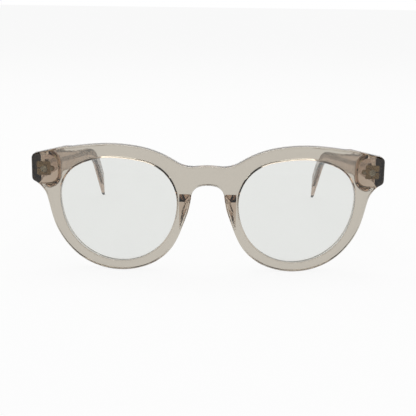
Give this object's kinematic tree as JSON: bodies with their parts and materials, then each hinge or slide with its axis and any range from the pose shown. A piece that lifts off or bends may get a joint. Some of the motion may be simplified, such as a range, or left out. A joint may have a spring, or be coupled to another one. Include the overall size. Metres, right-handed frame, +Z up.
{
  "type": "round eyeglasses",
  "caption": "Round full-rim eyeglasses in clear champagne acetate, with a saddle bridge, raised nose pads and temples that fold on screwed hinges.",
  "frame": {"origin": "middle of the bounding box seen from above, on the table that the open glasses stand on", "axes": "-Y the way the wearer looks, +Y back along the temples, +X to the right seen from the front, +Z up"},
  "size_m": [0.142, 0.1472, 0.0514],
  "materials": {
    "acetate_front": "polished clear champagne cellulose acetate",
    "acetate_pad": "polished clear champagne cellulose acetate",
    "acetate_temple": "polished clear champagne cellulose acetate",
    "lens": "clear coated lens plastic",
    "hinge_metal": "satin nickel silver, warm",
    "stud_metal": "tinned grey metal",
    "screw_metal": "bright turned steel",
    "core_metal": "drawn nickel silver strip"
  },
  "bodies": {
    "front_frame": {"front": "acetate_front", "lens_left": "lens", "lens_right": "lens", "nose_pad_left": "acetate_pad", "nose_pad_right": "acetate_pad", "front_hinge_left": "hinge_metal", "front_hinge_right": "hinge_metal", "anchor_stud_left": "stud_metal", "anchor_stud_right": "stud_metal", "locating_pin_left": "stud_metal", "locating_pin_right": "stud_metal", "hinge_screw_left": "screw_metal", "hinge_screw_right": "screw_metal"},
    "left_temple": {"temple_left": "acetate_temple", "temple_core_left": "core_metal", "temple_hinge_left": "hinge_metal"},
    "right_temple": {"temple_right": "acetate_temple", "temple_core_right": "core_metal", "temple_hinge_right": "hinge_metal"}
  },
  "joints": [
    {"name": "left_temple_fold", "type": "hinge", "parent": "front_frame", "child": "left_temple", "pos_m": [-0.0652, -0.05701, 0.03977], "axis": [0, 0, -1], "range_deg": [0, 86]},
    {"name": "right_temple_fold", "type": "hinge", "parent": "front_frame", "child": "right_temple", "pos_m": [0.0652, -0.05701, 0.03977], "axis": [0, 0, 1], "range_deg": [0, 80]}
  ]
}
